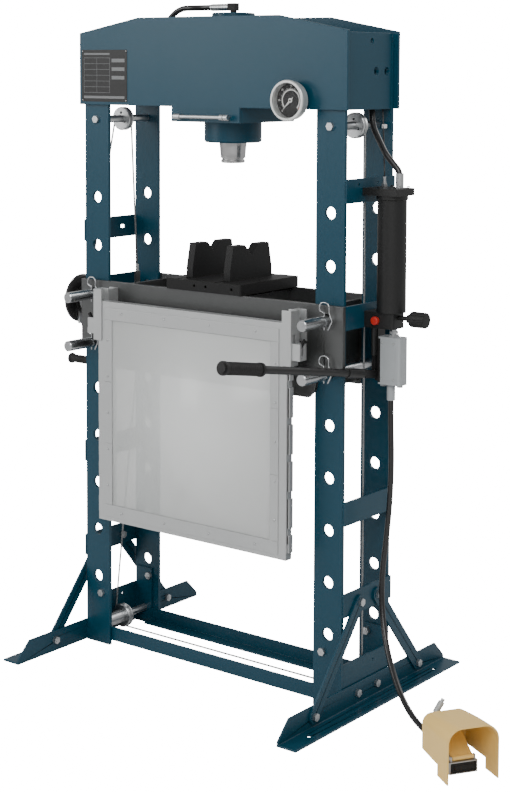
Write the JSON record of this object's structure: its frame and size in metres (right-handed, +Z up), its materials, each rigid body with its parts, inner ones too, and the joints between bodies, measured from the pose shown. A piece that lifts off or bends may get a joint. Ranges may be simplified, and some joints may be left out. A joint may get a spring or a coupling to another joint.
{
  "type": "hydraulic workshop press",
  "caption": "Floor standing workshop press with height set table, hand pump, cable winch, clear sliding guard and foot pedal.",
  "frame": {"origin": "centre of the four floor anchor holes, at floor level", "axes": "+Z up, +X towards the pump side, +Y towards the rear"},
  "size_m": [1.6669, 1.0379, 1.849],
  "materials": {
    "frame_paint": "gloss",
    "table_paint": "satin",
    "black_paint": "satin",
    "steel": "turned",
    "chrome": "polished",
    "zinc": "zinc plated",
    "black_steel": "oiled black",
    "guard_paint": "satin",
    "clear_plastic": "clear sheet",
    "glass": "clear",
    "bezel": "gloss",
    "dial": "matt print",
    "white": "matt",
    "rubber": "ribbed",
    "hose": "smooth",
    "wire_rope": "stranded",
    "grey_plastic": "satin",
    "yellow": "moulded",
    "red": "moulded"
  },
  "bodies": {
    "frame": {"head_front_plate": "frame_paint", "head_rear_plate": "frame_paint", "head_end_plates": "frame_paint", "cylinder_seat": "frame_paint", "cylinder_body": "black_steel", "hose_fittings": "zinc", "post_front_left": "frame_paint", "post_front_right": "frame_paint", "post_rear_left": "frame_paint", "post_rear_right": "frame_paint", "side_plates": "frame_paint", "feet": "frame_paint", "foot_struts": "frame_paint", "bottom_rails": "frame_paint", "frame_bolts": "zinc", "lift_cables": "wire_rope", "winch_frame": "zinc", "table_front_plate": "table_paint", "table_rear_plate": "table_paint", "table_webs": "table_paint", "bed_plate": "black_paint", "v_blocks": "black_steel", "guard_brackets": "guard_paint", "pump_plate": "black_paint", "pump_tank": "black_paint", "pump_body": "black_paint", "pump_plug": "red", "control_box": "grey_plastic", "air_fittings": "zinc", "pressure_lines": "hose", "gauge_case": "bezel", "gauge_dial": "dial", "gauge_lens": "glass", "apron_handle": "black_paint", "pedal_hood": "yellow", "pedal_base": "black_steel", "air_hose": "hose"},
    "ram_body": {"ram": "chrome"},
    "guard": {"guard_frame": "guard_paint", "guard_panel": "clear_plastic", "guard_trim": "guard_paint"},
    "latch_left": {"latch_lever_left": "black_steel"},
    "latch_right": {"latch_lever_right": "black_steel"},
    "pin_upper_left": {"locking_pin_upper_left": "steel"},
    "pin_lower_left": {"locking_pin_lower_left": "steel"},
    "pin_upper_right": {"locking_pin_upper_right": "steel"},
    "pin_lower_right": {"locking_pin_lower_right": "steel"},
    "winch": {"winch_drum": "black_paint", "winch_crank": "zinc", "winch_grip": "rubber"},
    "wheel_top_left": {"pulley_top_left": "zinc"},
    "wheel_top_right": {"pulley_top_right": "zinc"},
    "wheel_bottom_left": {"pulley_bottom_left": "zinc"},
    "wheel_bottom_right": {"pulley_bottom_right": "zinc"},
    "lever": {"pump_lever": "black_paint", "lever_grip": "rubber"},
    "plunger": {"pump_plunger": "chrome"},
    "knob": {"release_knob": "rubber"},
    "needle": {"gauge_needle": "white"},
    "tread": {"pedal_tread": "yellow"}
  },
  "joints": [
    {"name": "ram_slide", "type": "slide", "parent": "frame", "child": "ram_body", "axis": [0, 0, -1], "range_m": [0, 0.15]},
    {"name": "guard_lift", "type": "slide", "parent": "frame", "child": "guard", "axis": [0, 0, 1], "range_m": [0, 0.485]},
    {"name": "latch_left_turn", "type": "hinge", "parent": "frame", "child": "latch_left", "pos_m": [-0.358, -0.177, 0.95], "axis": [0, 1, 0], "range_deg": [0, 20]},
    {"name": "latch_right_turn", "type": "hinge", "parent": "frame", "child": "latch_right", "pos_m": [0.358, -0.177, 0.95], "axis": [0, -1, 0], "range_deg": [0, 20]},
    {"name": "pin_upper_left_slide", "type": "slide", "parent": "frame", "child": "pin_upper_left", "axis": [0, -1, 0], "range_m": [0, 0.26]},
    {"name": "pin_lower_left_slide", "type": "slide", "parent": "frame", "child": "pin_lower_left", "axis": [0, -1, 0], "range_m": [0, 0.26]},
    {"name": "pin_upper_right_slide", "type": "slide", "parent": "frame", "child": "pin_upper_right", "axis": [0, -1, 0], "range_m": [0, 0.26]},
    {"name": "pin_lower_right_slide", "type": "slide", "parent": "frame", "child": "pin_lower_right", "axis": [0, -1, 0], "range_m": [0, 0.26]},
    {"name": "winch_turn", "type": "hinge", "parent": "frame", "child": "winch", "pos_m": [-0.53, 0, 0.985], "axis": [1, 0, 0], "continuous": true},
    {"name": "wheel_top_left_turn", "type": "hinge", "parent": "frame", "child": "wheel_top_left", "pos_m": [-0.408, 0, 1.524], "axis": [0, 1, 0], "continuous": true},
    {"name": "wheel_top_right_turn", "type": "hinge", "parent": "frame", "child": "wheel_top_right", "pos_m": [0.408, 0, 1.524], "axis": [0, 1, 0], "continuous": true},
    {"name": "wheel_bottom_left_turn", "type": "hinge", "parent": "frame", "child": "wheel_bottom_left", "pos_m": [-0.412, 0, 0.05], "axis": [0, 1, 0], "continuous": true},
    {"name": "wheel_bottom_right_turn", "type": "hinge", "parent": "frame", "child": "wheel_bottom_right", "pos_m": [0.412, 0, 0.05], "axis": [0, 1, 0], "continuous": true},
    {"name": "lever_turn", "type": "hinge", "parent": "frame", "child": "lever", "pos_m": [0.482, 0.009, 0.876], "axis": [1, 0, 0], "range_deg": [-40, 10]},
    {"name": "plunger_slide", "type": "slide", "parent": "frame", "child": "plunger", "axis": [0, 0, 1], "range_m": [-0.006, 0.019]},
    {"name": "release_turn", "type": "hinge", "parent": "frame", "child": "knob", "pos_m": [0.605, 0, 1.032], "axis": [1, 0, 0], "range_deg": [0, 90]},
    {"name": "needle_turn", "type": "hinge", "parent": "frame", "child": "needle", "pos_m": [0.303, -0.145, 1.589], "axis": [0, 1, 0], "range_deg": [0, 270]},
    {"name": "tread_press", "type": "hinge", "parent": "frame", "child": "tread", "pos_m": [0.88995, -0.23328, 0.037], "axis": [-0.547, -0.8371, 0], "range_deg": [0, 12], "stiffness_Nm_per_rad": 2, "springref_deg": -17.19}
  ],
  "couplings": [
    {"joint": "wheel_top_left_turn", "follows": "winch_turn", "ratio": -1.2393},
    {"joint": "wheel_top_right_turn", "follows": "winch_turn", "ratio": 1.2393},
    {"joint": "wheel_bottom_left_turn", "follows": "winch_turn", "ratio": 1.2393},
    {"joint": "wheel_bottom_right_turn", "follows": "winch_turn", "ratio": 1.2393},
    {"joint": "plunger_slide", "follows": "lever_turn", "m_per_rad": -0.025}
  ]
}
